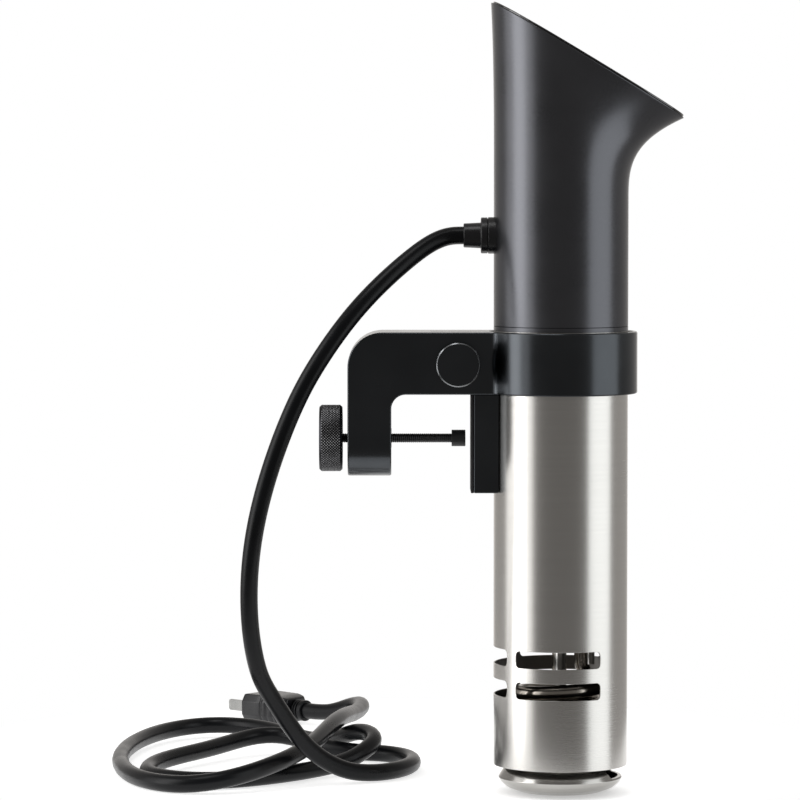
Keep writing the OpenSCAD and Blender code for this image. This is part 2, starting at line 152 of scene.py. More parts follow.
def tinted(colour, factor=1):
    return (colour[0] * factor, colour[1] * factor, colour[2] * factor, 1)


def finish(name, colour, rough, metal=0.0, spread=0.2, rough_spread=0.06, grain=0.35 * MM,
           depth=0.01 * MM, patch=22 * MM, stretch=(1, 1, 1), painted_highlight=None, coat=0.0,
           highlight_round=None, mirror=0.5):
    """A solid material: patchy colour, uneven gloss, a fine grain and, if asked, edges painted
    lighter as a painted highlight.

    spread and rough_spread are how far colour and gloss vary, over patches of the size patch.
    The painted highlight is on the edges, or, where a ring (z, start, end) is given, it grows
    with the distance from the axis along X at that height."""
    n = Nodes(name)
    patches = n.noise(patch, 3.0)
    fine = n.noise(grain, 3.0, stretch)
    shade = n.mix(n.between(patches, 0.0, 1.0), tinted(colour, 1 - spread),
                  tinted(colour, 1 + spread))
    gloss = n.sum(n.between(patches, -rough_spread, rough_spread),
                  n.between(fine, rough, rough + rough_spread))
    # painted highlight: a lighter colour on the edges, or on the outer crests of a turned part
    if painted_highlight:
        highlight_mask = n.off_axis(*highlight_round) if highlight_round else n.edges()
        shade = n.mix(highlight_mask, shade, tinted(painted_highlight))
    n.surface(Base_Color=shade, Roughness=gloss, Metallic=metal, Specular_IOR_Level=mirror,
              Coat_Weight=coat, Coat_Roughness=0.04, Normal=n.bump(fine, depth))
    finishes[name] = n.material


STEEL = (0.65, 0.635, 0.61)
# the darker colour of the tube's inner wall: painted shade
INNER_SHADE = (0.15, 0.143, 0.135)


def brushed_steel(name, colour, rough, depth, inside=0.0):
    """Stainless sheet brushed round the tube: long fine lines, each at one height.

    Nearer the axis than the radius given as inside, the sheet is duller and darker; the darker
    colour is painted shade inside the tube."""
    n = Nodes(name)
    lines = n.noise(1.0 * MM, 3.0, (0.02, 0.02, 4.0))
    cloud = n.noise(60 * MM, 3.0, (1, 1, 0.4))
    shade = n.mix(n.between(lines, 0.0, 1.0), tinted(colour, 0.96), tinted(colour, 1.03))
    shade = n.mix(n.between(cloud, 0.0, 0.35), shade, tinted(colour, 0.86))
    gloss = n.sum(n.between(lines, rough, rough + 0.015), n.between(cloud, -0.015, 0.02))
    # painted shade: the inner wall is darkened
    if inside:
        across = n.add("ShaderNodeVectorMath", {0: n.stretched((1, 1, 0))}, operation="LENGTH")
        inner = n.between(across.outputs["Value"], 1.0, 0.0, inside - 0.1 * MM, inside + 0.1 * MM)
        shade = n.mix(inner, shade, tinted(INNER_SHADE))
        gloss = n.sum(gloss, n.between(inner, 0.0, 0.12, 0.0, 1.0))
    n.surface(Base_Color=shade, Roughness=gloss, Metallic=1.0, Normal=n.bump(lines, depth))
    finishes[name] = n.material


def circuit_board(name):
    """Green board with paler tracks round square cells."""
    n = Nodes(name)
    cells = n.add("ShaderNodeTexVoronoi", {"Vector": n.place, "Scale": 1 / (3 * MM)},
                  distance="CHEBYCHEV")
    tracks = n.between(cells.outputs["Distance"], 0.0, 1.0, 0.42, 0.5)
    n.surface(Base_Color=n.mix(tracks, (0.01, 0.07, 0.03, 1), (0.30, 0.22, 0.08, 1)),
              Roughness=n.between(n.noise(2 * MM), 0.35, 0.5))
    finishes[name] = n.material


def lit_marks(name):
    """The display's pale marks, which glow a little."""
    n = Nodes(name)
    glow = n.mix(n.noise(1.5 * MM), (0.62, 0.72, 0.78, 1), (0.78, 0.84, 0.88, 1))
    n.surface(Base_Color=glow, Roughness=n.between(n.noise(0.5 * MM), 0.3, 0.4),
              Emission_Color=glow, Emission_Strength=0.7)
    finishes[name] = n.material


SCREW_Z = sum(corner.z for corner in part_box("pot_screw")) / 2
KNOB_R = (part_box("screw_knob")[1].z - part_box("screw_knob")[0].z) / 2
brushed_steel("tube_steel", STEEL, 0.25, 0.0002 * MM, 33.6 * MM)
brushed_steel("cap_steel", (0.46, 0.45, 0.43), 0.17, 0.0002 * MM)
# name, colour, rough, metal, spread, rough_spread, grain, depth, patch, stretch
finish("coil_steel", (0.42, 0.385, 0.34), 0.2, 1.0, 0.12, 0.05, 0.8 * MM, 0.004 * MM, 9 * MM)
finish("rod_steel", (0.52, 0.51, 0.49), 0.2, 1.0, 0.08, 0.05, 0.3 * MM, 0.004 * MM, 12 * MM,
       (1, 1, 4))
finish("blade_nickel", (0.34, 0.34, 0.33), 0.22, 1.0, 0.1, 0.05, 0.3 * MM, 0.003 * MM, 6 * MM)
finish("zinc", (0.50, 0.50, 0.51), 0.34, 1.0, 0.12, 0.07, 0.5 * MM, 0.006 * MM)
# black_zinc: its edges are painted lighter, a painted highlight
finish("black_zinc", (0.028, 0.028, 0.030), 0.3, 0.6, 0.2, 0.06, 0.3 * MM, 0.004 * MM,
       painted_highlight=(0.12, 0.12, 0.125))
finish("shell", (0.112, 0.114, 0.124), 0.27, 1.0, 0.05, 0.03, 0.16 * MM, 0.006 * MM, 35 * MM)
finish("paint", (0.066, 0.071, 0.077), 0.20, 1.0, 0.10, 0.03, 0.5 * MM, 0.003 * MM, 30 * MM)
# knurl_black: the crests of the knurl are painted lighter, a painted highlight
finish("knurl_black", (0.03, 0.03, 0.033), 0.3, 1.0, 0.15, 0.06, 0.3 * MM, 0.003 * MM,
       painted_highlight=(0.48, 0.48, 0.49), highlight_round=(SCREW_Z, KNOB_R - 0.29 * MM, KNOB_R - 0.07 * MM))
# the side knob's chamfer: a lighter metal than the knob's paint, as a painted highlight
finish("ring_highlight", (0.25, 0.26, 0.27), 0.2, 1.0, 0.06, 0.04, 0.2 * MM, 0.002 * MM)
finish("copper", (0.72, 0.30, 0.14), 0.3, 1.0, 0.1, 0.06, 0.5 * MM, 0.05 * MM, 4 * MM,
       (0.15, 0.15, 1))
finish("plug_plastic", (0.007, 0.007, 0.0085), 0.26, spread=0.18, rough_spread=0.04,
       grain=0.25 * MM, depth=0.006 * MM, patch=12 * MM)
finish("glass", (0.0035, 0.0035, 0.0042), 0.06, spread=0.1, rough_spread=0.015, grain=4 * MM,
       depth=0.0, coat=1.0)
finish("cord_skin", (0.0040, 0.0044, 0.0054), 0.28, spread=0.2, rough_spread=0.03,
       grain=0.5 * MM, depth=0.004 * MM, patch=15 * MM, mirror=0.2)
finish("soft_rubber", (0.014, 0.014, 0.015), 0.62, spread=0.2, grain=0.4 * MM,
       depth=0.03 * MM, patch=8 * MM)
finish("dark_nylon", (0.022, 0.022, 0.024), 0.42, spread=0.15)
finish("grey_plastic", (0.09, 0.09, 0.095), 0.45, spread=0.12)
finish("nylon", (0.045, 0.044, 0.042), 0.4, spread=0.1)
circuit_board("board")
lit_marks("marks")


# ---- making pieces ----
def link(name, data, material, body, nodes):
    """Puts a piece in the scene: it rides the body and stands for the CAD nodes."""
    piece = bpy.data.objects.new(name, data)
    data.materials.append(finishes[material])
    bpy.context.scene.collection.objects.link(piece)
    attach(piece, body)
    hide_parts(*nodes)
    return piece


def closed_mesh(name, points, faces):
    """A mesh without double points, its faces turned outwards."""
    mesh = bpy.data.meshes.new(name)
    mesh.from_pydata([tuple(p) for p in points], [], faces)
    bm = bmesh.new()
    bm.from_mesh(mesh)
    bmesh.ops.remove_doubles(bm, verts=bm.verts, dist=0.001 * MM)
    bmesh.ops.recalc_face_normals(bm, faces=bm.faces)
    bm.to_mesh(mesh)
    bm.free()
    return mesh


def shade_evenly(piece):
    """Keeps large flat faces flat in their shading, next to rounded edges."""
    piece.modifiers.new("even_shading", "WEIGHTED_NORMAL").keep_sharp = True


def solid(name, points, faces, material, body, nodes=(), bevel=0.0, steps=3, sharp=60):
    """A closed mesh as a piece. bevel rounds every edge that turns more than 30 degrees."""
    mesh = closed_mesh(name, points, faces)
    mesh.shade_smooth()
    if not bevel:
        mesh.set_sharp_from_angle(angle=math.radians(sharp))
    piece = link(name, mesh, material, body, nodes)
    if bevel:
        rounding = piece.modifiers.new("rounding", "BEVEL")
        rounding.limit_method = "ANGLE"
        rounding.angle_limit = math.radians(30)
        rounding.width = bevel
        rounding.segments = steps
        rounding.use_clamp_overlap = True
    shade_evenly(piece)
    return piece


def apply_modifiers(piece):
    graph = bpy.context.evaluated_depsgraph_get()
    graph.update()
    mesh = bpy.data.meshes.new_from_object(piece.evaluated_get(graph), depsgraph=graph)
    piece.modifiers.clear()
    piece.data = mesh


def cut(piece, points, faces):
    """Takes a closed shape out of the finished piece, and shades what is left again."""
    apply_modifiers(piece)
    cutter = bpy.data.objects.new("cutter", closed_mesh("cutter", points, faces))
    bpy.context.scene.collection.objects.link(cutter)
    hole = piece.modifiers.new("hole", "BOOLEAN")
    hole.object = cutter
    hole.solver = "EXACT"
    apply_modifiers(piece)
    bpy.data.objects.remove(cutter)
    piece.data.set_sharp_from_angle(angle=math.radians(50))
    shade_evenly(piece)


def arc(centre, radius, start, end, steps):
    """Points of an arc, its angles in degrees."""
    angles = [math.radians(start + (end - start) * i / steps) for i in range(steps + 1)]
    return [(centre[0] + radius * math.cos(a), centre[1] + radius * math.sin(a)) for a in angles]


def rounded(corners, steps=4, closed=False):
    """An outline whose corners (a, b, radius) are rounded off. An open one keeps its ends."""
    points = []
    last = len(corners) - 1
    for i, (a, b, radius) in enumerate(corners):
        corner = Vector((a, b))
        if radius == 0 or (not closed and i in (0, last)):
            points.append((a, b))
            continue
        before = Vector(corners[i - 1][:2]) - corner
        after = Vector(corners[(i + 1) % (last + 1)][:2]) - corner
        reach = radius / math.tan(before.angle(after) / 2)
        reach = min(reach, 0.48 * before.length, 0.48 * after.length)
        first, second = corner + before.normalized() * reach, corner + after.normalized() * reach
        for k in range(steps + 1):
            t = k / steps
            point = first * (1 - t) ** 2 + corner * (2 * t * (1 - t)) + second * t * t
            points.append((point.x, point.y))
    return points


def upright(x=0.0, y=0.0):
    """Round an axis along Z. Such a map takes (radius, angle, h) to a point."""
    return lambda r, a, h: (x + r * math.cos(a), y + r * math.sin(a), h)


def leftwards(z):
    """Round an axis along X at that height. h counts from the tube's axis towards -X."""
    return lambda r, a, h: (-h, r * math.cos(a), z + r * math.sin(a))


def forwards(x, z):
    """Round an axis along Y. h counts from the tube's axis towards -Y."""
    return lambda r, a, h: (x + r * math.cos(a), -h, z + r * math.sin(a))


def ring_faces(rows, count, closed=False):
    """Faces between rings of count points each. A closed shape joins the last to the first."""
    faces = []
    for i in range(rows if closed else rows - 1):
        here, following = i * count, (i + 1) % rows * count
        for k in range(count):
            faces.append((here + k, following + k, following + (k + 1) % count,
                          here + (k + 1) % count))
    return faces


def turned(profile, place, count=96, closed=False):
    """Points and faces of a profile [(radius, height), ...] turned about an axis."""
    points = [place(r, TAU * k / count, h) for r, h in profile for k in range(count)]
    return points, ring_faces(len(profile), count, closed)


def capped(profile):
    """A lathe profile that starts and ends on its axis."""
    return [(0.0, profile[0][1]), *profile, (0.0, profile[-1][1])]


def extruded(outline, place, low, high):
    """Points and faces of a flat outline pushed from low to high; place maps (a, b, height)."""
    n = len(outline)
    points = [place(a, b, low) for a, b in outline] + [place(a, b, high) for a, b in outline]
    faces = [tuple(range(n - 1, -1, -1)), tuple(range(n, 2 * n))]
    faces += [(i, (i + 1) % n, n + (i + 1) % n, n + i) for i in range(n)]
    return points, faces


def joined(shapes):
    """Points and faces of several shapes as one."""
    points, faces = [], []
    for some_points, some_faces in shapes:
        faces += [tuple(i + len(points) for i in face) for face in some_faces]
        points += some_points
    return points, faces


def flat(a, b, height):
    """Places an outline seen from above."""
    return a, b, height


def upended(a, b, y):
    """Places an outline seen from the front."""
    return a, y, b


def tube_curve(name, points, radius, material, body, nodes=(), rounds=8):
    """A round tube along points, as one open spline."""
    data = bpy.data.curves.new(name, "CURVE")
    data.dimensions = "3D"
    data.bevel_depth = radius
    data.bevel_resolution = rounds
    data.use_fill_caps = True
    spline = data.splines.new("POLY")
    spline.points.add(len(points) - 1)
    for point, place in zip(spline.points, points):
        point.co = (*place, 1)
    return link(name, data, material, body, nodes)


# ---- the cord, along the CAD model's route ----
CORD_D = 9 * MM
CORD_ROUTE_MM = [
    (-49.5, 0, 283.5), (-57, 0, 283.5), (-66, -4, 280), (-77, -11, 272), (-92, -21, 259),
    (-107, -28, 243), (-122, -33, 222), (-134, -35, 201), (-146, -35, 170), (-154, -31, 141),
    (-158, -22, 113), (-158, -12, 85), (-154, -2, 60), (-148, 6, 49), (-140, 12, 35),
    (-132, 18, 23), (-122, 24, 13), (-109, 29, 6), (-96, 34, 4.5), (-84, 44, 4.5), (-76, 62, 4.5),
    (-74, 82, 4.5), (-79, 100, 4.5), (-91, 112, 4.5), (-106, 115, 4.5), (-121, 121, 6),
    (-134, 131, 9), (-147, 139, 11), (-159, 138, 10.5), (-170, 128, 9), (-181, 112, 7.5),
    (-193, 93, 7), (-205, 74, 6.5), (-213, 54, 5.5), (-213, 34, 4.5), (-204, 17, 4.5),
    (-188, 7, 4.5), (-170, 9, 4.5), (-151, 22, 4.5), (-134, 39, 4.5), (-120, 54, 5), (-109, 63, 7),
    (-101, 72, 10.5), (-95, 84, 14), (-96, 99, 16.5), (-104, 114, 16.5), (-113, 130, 11),
    (-122, 147, 6), (-132, 163, 5), (-142, 178, 5.5), (-155, 195, 6.5), (-169, 206, 7),
    (-185, 211, 7), (-200, 206, 6.5), (-213, 190, 6), (-223, 164, 5.5), (-229, 132, 5),
    (-231, 98, 4.5), (-228, 62, 4.5), (-221, 28, 4.5), (-209, 3, 4.5), (-192, -9, 4.5),
    (-174, -9, 6.5), (-158, 0, 9.5), (-145, 14, 12.5), (-134, 34, 15), (-125, 68, 17.5),
    (-118, 102, 21.5), (-112, 138, 21.5), (-107, 176, 17.5), (-103, 206, 17), (-103, 224, 17),
    (-109, 240, 14.5), (-121, 252, 8), (-135, 264, 8)]
CORD_STEPS = 8               # curve points for each point of the route


def smooth_path(route, steps):
    """A uniform cubic B-spline along the route, that starts and ends on its end points."""
    p = [2 * route[0] - route[1], *route, 2 * route[-1] - route[-2]]
    points = []
    for i in range(len(route) - 1):
        for k in range(steps + (i == len(route) - 2)):
            t = k / steps
            points.append((p[i] * (1 - t) ** 3 + p[i + 1] * (3 * t ** 3 - 6 * t * t + 4)
                           + p[i + 2] * (-3 * t ** 3 + 3 * t * t + 3 * t + 1)
                           + p[i + 3] * t ** 3) / 6)
    return points


def path_length(points):
    return sum((b - a).length for a, b in zip(points, points[1:]))


def make_cord():
    """The power cord, and the points of its middle line."""
    route = [Vector(p) * MM for p in CORD_ROUTE_MM]
    points = smooth_path(route, CORD_STEPS)
    lead = tube_curve("power_lead", points, CORD_D / 2, "cord_skin", "housing",
                      ["cord"], rounds=6)
    return lead, points


PLUG_RING = 3 * MM           # width of the ring at the cord's end
PLUG_CASE_AT = 8 * MM        # from the cord's end to the case
PLUG_LENGTH = 30 * MM
PLUG_WIDTH = 28 * MM
PLUG_HEIGHT = 16 * MM
BLADE_LENGTH = 16 * MM
BLADE_WIDTH = 6.3 * MM
BLADE_THICK = 1.5 * MM
BLADE_Y = 6.35 * MM          # from the plug's middle to a blade's
# stations along the case: place, width and height, as shares of its length, width and height
CASE_STATIONS = [
    (0.0, 0.62, 0.80), (0.04, 0.68, 0.88), (0.15, 0.78, 0.96), (0.24, 0.84, 1.0),
    (0.28, 0.80, 1.0), (0.32, 0.86, 1.0), (0.37, 0.88, 1.0), (0.41, 0.84, 1.0),
    (0.45, 0.90, 1.0), (0.50, 0.92, 1.0), (0.54, 0.88, 1.0), (0.58, 0.94, 1.0),
    (0.70, 0.98, 1.0), (0.94, 1.0, 1.0), (1.0, 0.97, 0.95)]


def plug_frame():
    """Maps (along, sideways, up), counted from the cord's end, to the frame."""
    end, before = Vector(CORD_ROUTE_MM[-1]) * MM, Vector(CORD_ROUTE_MM[-2]) * MM
    ahead = (end - before).normalized()
    side = Vector((0, 0, 1)).cross(ahead)
    return lambda along, across, up: end + ahead * along + side * across + Vector((0, 0, up))


def make_grip(at):
    """The ring where the cord ends, and the ribbed neck behind it."""
    place = lambda r, a, h: at(h, r * math.cos(a), r * math.sin(a))
    ring_r, neck_r, rib = 6 * MM, 4.9 * MM, 0.8 * MM
    profile = [(CORD_D / 2, 0, 0), (ring_r, 0, 0.7 * MM), (ring_r, PLUG_RING, 0.7 * MM),
               (neck_r, PLUG_RING + 0.3 * MM, 0.2 * MM)]
    for k in range(2):
        start = PLUG_RING + (0.9 + 1.9 * k) * MM
        profile += [(neck_r, start, 0.2 * MM), (neck_r + rib, start + 0.1 * MM, 0.3 * MM),
                    (neck_r + rib, start + 1.1 * MM, 0.3 * MM),
                    (neck_r, start + 1.2 * MM, 0.2 * MM)]
    profile += [(neck_r, PLUG_CASE_AT + 2 * MM, 0)]
    points, faces = turned(capped(rounded(profile)), place, 48)
    return solid("plug_grip", points, faces, "cord_skin", "housing",
                 ["plug_relief"])


def make_case(at):
    """A chamfered block, narrower at the cord, with finger grooves across its sides."""
    w, h, slope_w, slope_h = PLUG_WIDTH / 2, PLUG_HEIGHT / 2, 2.6 * MM, 4.2 * MM
    corners = [(w, h - slope_h), (w - slope_w, h), (slope_w - w, h), (-w, h - slope_h),
               (-w, slope_h - h), (slope_w - w, -h), (w - slope_w, -h), (w, slope_h - h)]
    section = rounded([(a, b, 0.9 * MM) for a, b in corners], 3, True)
    points = [at(PLUG_CASE_AT + t * PLUG_LENGTH, a * wide, b * tall)
              for t, wide, tall in CASE_STATIONS for a, b in section]
    n = len(section)
    faces = ring_faces(len(CASE_STATIONS), n)
    faces += [tuple(range(n)), tuple(range(len(points) - 1, len(points) - n - 1, -1))]
    return solid("plug_case", points, faces, "plug_plastic", "housing",
                 ["plug_body"], bevel=0.6 * MM)


def make_blades(at):
    """Two flat blades that face each other, with rounded tips."""
    case_end = PLUG_CASE_AT + PLUG_LENGTH
    root, far, tip, half = case_end - 1 * MM, case_end + BLADE_LENGTH, 1.6 * MM, BLADE_WIDTH / 2
    outline = rounded([(root, -half, 0), (far, -half, tip), (far, half, tip), (root, half, 0)],
                      6, True)
    points, faces = joined(extruded(outline, lambda a, b, side: at(a, side, b),
                                    y - BLADE_THICK / 2, y + BLADE_THICK / 2)
                           for y in (-BLADE_Y, BLADE_Y))
    return solid("plug_pins", points, faces, "blade_nickel", "housing", ["plug_blades"],
                 bevel=0.3 * MM)


lead, lead_path = make_cord()
plug_at = plug_frame()
plug_pieces = [make_grip(plug_at), make_case(plug_at), make_blades(plug_at)]
path_length(lead_path)


# ---- the steel tube and its water slots ----
SLOT_ROWS = (54.7 * MM, 70.5 * MM)      # middle heights
SLOT_H = 8.5 * MM
SLOT_R = 2.5 * MM                       # radius of a slot's corners
SLOT_SPAN = 78.0                        # degrees
SLOT_MIDDLES = (265.5, 176.5, 87.5)     # directions, in degrees
TUBE_WALL = 0.8 * MM
TUBE_COLUMNS = 720


def slot_depth(degrees, radius):
    """How far inside a slot a direction lies, along the wall; below 0 outside every slot."""
    gaps = [SLOT_SPAN / 2 - abs((degrees - middle + 180) % 360 - 180) for middle in SLOT_MIDDLES]
    return math.radians(max(gaps)) * radius


def make_tube():
    """One skin of columns that leaves out the slots, given its wall afterwards."""
    low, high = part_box("skirt_tube")
    radius = high.x
    step = 360 / TUBE_COLUMNS
    points = []
    for k in range(TUBE_COLUMNS):
        depth = min(max(slot_depth(k * step, radius), 0), SLOT_R)
        corner = SLOT_R - math.sqrt(SLOT_R ** 2 - (SLOT_R - depth) ** 2)
        heights = [low.z]
        for middle in SLOT_ROWS:
            heights += [middle - SLOT_H / 2 + corner, middle + SLOT_H / 2 - corner]
        a = math.radians(k * step)
        points += [(radius * math.cos(a), radius * math.sin(a), h) for h in [*heights, high.z]]
    rows = 2 * len(SLOT_ROWS) + 2
    faces = []
    for k in range(TUBE_COLUMNS):
        both = min(slot_depth(k * step, radius), slot_depth((k + 1) * step, radius))
        for i in range(rows - 1):
            if i % 2 and both > -1e-6:    # inside a slot
                continue
            a, b = k * rows + i, (k + 1) % TUBE_COLUMNS * rows + i
            faces.append((a, b, b + 1, a + 1))
    piece = solid("tube_body", points, faces, "tube_steel", "housing", ["skirt_tube"])
    piece.modifiers.clear()
    wall = piece.modifiers.new("wall", "SOLIDIFY")
    wall.thickness = TUBE_WALL
    wall.offset = -1
    edge = piece.modifiers.new("edge", "BEVEL")
    edge.limit_method = "ANGLE"
    edge.angle_limit = math.radians(60)
    edge.width = 0.14 * MM
    edge.segments = 2
    shade_evenly(piece)


def make_foot():
    """The pressed end cap: a shallow dish, a neck with the outlet window, and a flange."""
    # (radius, height, rounding) in mm, up the outside and back down the inside
    profile = [(14, 0, 3), (22, 1, 6), (27.5, 3.2, 6), (30.4, 5.8, 4), (31.55, 8.0, 0.5),
               (31.0, 8.9, 0.3), (27.7, 14.2, 0.8), (27.7, 18, 0.3), (33.1, 18, 0.3),
               (33.1, 21, 0.3), (26.3, 21, 0.3), (26.3, 14.1, 0.6), (29.7, 8.2, 0.5),
               (28.6, 6.7, 2), (26.6, 4.7, 4), (21.6, 2.4, 6), (14, 1.4, 4)]
    profile = [(r * MM, h * MM, f * MM) for r, h, f in profile]
    outline = rounded([(0, 0, 0), *profile, (0, 1.4 * MM, 0)], 4)
    points, faces = turned(outline, upright(), 192)
    piece = solid("foot_cap", points, faces, "cap_steel", "housing", ["end_cap"])
    # the outlet window, cut through the neck on the right
    half, sill, lintel, corner = 17 * MM, 8.8 * MM, 13.8 * MM, 1.2 * MM
    window = rounded([(-half, sill, corner), (half, sill, corner), (half, lintel, corner),
                      (-half, lintel, corner)], 4, True)
    turn = math.radians(-2)
    place = lambda a, b, x: (x * math.cos(turn) - a * math.sin(turn),
                             x * math.sin(turn) + a * math.cos(turn), b)
    cut(piece, *extruded(window, place, 22.7 * MM, 34.6 * MM))


COIL_R_MM = 22.0
COIL_Z_MM = (30.0, 57.0)
COIL_TURNS = 2.805
COIL_START = math.radians(115)
COIL_ENDS_MM = 221.9         # both ends reach up to the head's bulkhead
COIL_STEPS = 180


def make_coil():
    """The heater: a sheathed tube wound in a helix, with both ends led up to the head."""
    bottom, top = COIL_Z_MM
    on_helix = lambda a, z: (COIL_R_MM * math.cos(a), COIL_R_MM * math.sin(a), z)
    helix = [on_helix(COIL_START + TAU * COIL_TURNS * k / COIL_STEPS,
                      bottom + (top - bottom) * k / COIL_STEPS) for k in range(COIL_STEPS + 1)]
    last = COIL_START + TAU * COIL_TURNS
    inner = [(0, 13, COIL_ENDS_MM), (0, 13, 60), (0, 13, 45), (0.3, 13.2, 38), (-1, 15, 32.5),
             (-4, 18.2, 30.3)]
    outer = [on_helix(last + turn, z)
             for turn, z in ((0.14, 59), (0.227, 63), (0.244, 70), (0.244, COIL_ENDS_MM))]
    points = [Vector(p) * MM for p in [*inner, *helix, *outer]]
    tube_curve("heating_coil", points, 3.7 * MM, "coil_steel", "housing",
               ["heater_coil"], rounds=10)


make_tube()
make_foot()
make_coil()


# ---- the head ----
DISPLAY_TILT = math.radians(30.8)
FLARE_Z = 300 * MM           # the round head starts to widen here
FLARE_POWER = 3.4            # how late the flare opens
HEAD_R = 34.1 * MM
HEAD_WALL = 2.4 * MM
head_low, head_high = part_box("head_shell")
RIM_LEFT, RIM_RIGHT, RIM_HALF_W = -head_low.x, head_high.x, head_high.y
RIM_Z = head_high.z - RIM_LEFT * math.tan(DISPLAY_TILT)


def head_point(a, s, inset):
    """A point of the head's skin: a is its direction, s runs from the flare's start to the rim."""
    f = s ** FLARE_POWER
    # the wall leans at the rim, most of all on the right, and is wider across there
    reach = RIM_RIGHT - 1.7 * inset if math.cos(a) > 0 else RIM_LEFT - 1.1 * inset
    x = math.cos(a) * ((HEAD_R - inset) * (1 - f) + reach * f)
    y = math.sin(a) * ((HEAD_R - inset) * (1 - f) + (RIM_HALF_W - inset) * f)
    top = RIM_Z - math.cos(a) * reach * math.tan(DISPLAY_TILT)
    return x, y, FLARE_Z + s * (top - FLARE_Z)


def make_head():
    """The head's casing: an outer and an inner skin, round below and flared at the rim."""
    count, levels = 144, 44
    points = []
    for inset in (0.0, HEAD_WALL):
        for k in range(count):
            a = TAU * k / count
            low = [((HEAD_R - inset) * math.cos(a), (HEAD_R - inset) * math.sin(a), z)
                   for z in (head_low.z, (head_low.z + FLARE_Z) / 2)]
            points += low + [head_point(a, (i / levels) ** 0.7, inset) for i in range(levels + 1)]
    rows = levels + 3
    inner = count * rows
    faces = []
    for k in range(count):
        a, b = k * rows, (k + 1) % count * rows
        for i in range(rows - 1):
            faces.append((a + i, b + i, b + i + 1, a + i + 1))
            faces.append((inner + a + i, inner + a + i + 1, inner + b + i + 1, inner + b + i))
        for i in (0, rows - 1):
            faces.append((a + i, inner + a + i, inner + b + i, b + i))
    solid("head_casing", points, faces, "shell", "housing", ["head_shell"],
          bevel=0.45 * MM)


def on_display(lift):
    """Maps a point of the display's own plane, +a to its low end, to the frame."""
    c, s = math.cos(DISPLAY_TILT), math.sin(DISPLAY_TILT)
    return lambda a, b, h: (a * c + (h + lift) * s, b, RIM_Z - a * s + (h + lift) * c)


GLASS_T = 1.2 * MM
GLASS_BORDER = 0.7 * MM


def glass_outline(count=192):
    """The rim's outline in the display's plane, drawn in by the border."""
    outline = []
    for k in range(count):
        a = TAU * k / count
        reach = RIM_RIGHT if math.cos(a) > 0 else RIM_LEFT
        outline.append((math.cos(a) * (reach - GLASS_BORDER) / math.cos(DISPLAY_TILT),
                        math.sin(a) * (RIM_HALF_W - GLASS_BORDER)))
    return outline


def make_glass():
    points, faces = extruded(glass_outline(), on_display(0), 0.0, GLASS_T)
    solid("glass_panel", points, faces, "glass", "housing", ["display_glass"],
          bevel=0.35 * MM)


DIGIT_SEGMENTS = {"6": "acdefg", "0": "abcdef"}


def segment_outlines(digit, x, y, size):
    """The bars of one digit of a plain seven-bar readout, its foot towards the low end."""
    half, gap, thick = size / 2, 0.12 * size, 0.07 * size
    bars = {"a": (1, 0, True), "g": (0, 0, True), "d": (-1, 0, True), "f": (0.5, -1, False),
            "b": (0.5, 1, False), "e": (-0.5, -1, False), "c": (-0.5, 1, False)}
    for name in DIGIT_SEGMENTS[digit]:
        up, side, across = bars[name]
        cx, cy = x - up * size, y + side * half
        if across:
            yield [(cx, cy - half + gap), (cx + thick, cy - half + gap + thick),
                   (cx + thick, cy + half - gap - thick), (cx, cy + half - gap),
                   (cx - thick, cy + half - gap - thick), (cx - thick, cy - half + gap + thick)]
        else:
            yield [(cx - half + gap, cy), (cx - half + gap + thick, cy + thick),
                   (cx + half - gap - thick, cy + thick), (cx + half - gap, cy),
                   (cx + half - gap - thick, cy - thick), (cx - half + gap + thick, cy - thick)]


DIGIT_H = 7 * MM             # half of a digit's height, and a digit's width
KEYS_X = 30 * MM             # the row of touch keys, towards the low end
KEY_Y = 12 * MM              # the minus key is that far to one side, the plus to the other


def make_marks():
    """A plain readout and three touch keys, just proud of the glass."""
    outlines = []
    for digit, y in (("6", -11 * MM), ("0", 0.0), ("0", 14 * MM)):
        outlines += segment_outlines(digit, 0.0, y, DIGIT_H)
    outlines.append(arc((6.5 * MM, 7 * MM), 0.9 * MM, 0, 337.5, 15))    # the decimal point
    thin, arm = 0.35 * MM, 2.2 * MM
    bar = [(-thin, -arm), (thin, -arm), (thin, arm), (-thin, arm)]
    stubs = [[(low, -thin), (high, -thin), (high, thin), (low, thin)]
             for low, high in ((-arm, -2 * thin), (2 * thin, arm))]
    arrow = [(3 * MM, -1.6 * MM), (6.8 * MM, 0.0), (3 * MM, 1.6 * MM)]
    for y, shapes in ((-KEY_Y, [bar]), (KEY_Y, [bar, *stubs]), (0.0, [arrow])):
        outlines += [[(KEYS_X + a, y + b) for a, b in shape] for shape in shapes]
    points, faces = joined(extruded(outline, on_display(GLASS_T), -0.1 * MM, 0.03 * MM)
                           for outline in outlines)
    solid("display_marks", points, faces, "marks", "housing")


def make_gland():
    """The cord's gland: a sleeve and two stacked rings against the head."""
    low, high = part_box("cord_gland")
    z = (low.z + high.z) / 2
    # (radius, distance from the tube's axis, rounding) in mm, outwards and into the mouth
    profile = [(9.25, 31.6, 0), (9.25, 36.95, 0.45), (8.6, 37.0, 0.1), (8.6, 37.3, 0.1),
               (9.1, 37.35, 0.35), (9.1, 40.6, 0.6), (6.5, 40.8, 0.3), (6.2, 46.5, 0.2),
               (6.1, 49.4, 0.6), (4.5, 49.5, 0.2), (4.5, 47.0, 0)]
    outline = rounded([(r * MM, h * MM, f * MM) for r, h, f in profile])
    outline = [(min(r, (high.z - low.z) / 2), min(h, -low.x)) for r, h in outline]
    points, faces = turned(capped(outline), leftwards(z), 96)
    solid("gland_rings", points, faces, "plug_plastic", "housing", ["cord_gland"])


make_head()
make_glass()
make_marks()
make_gland()


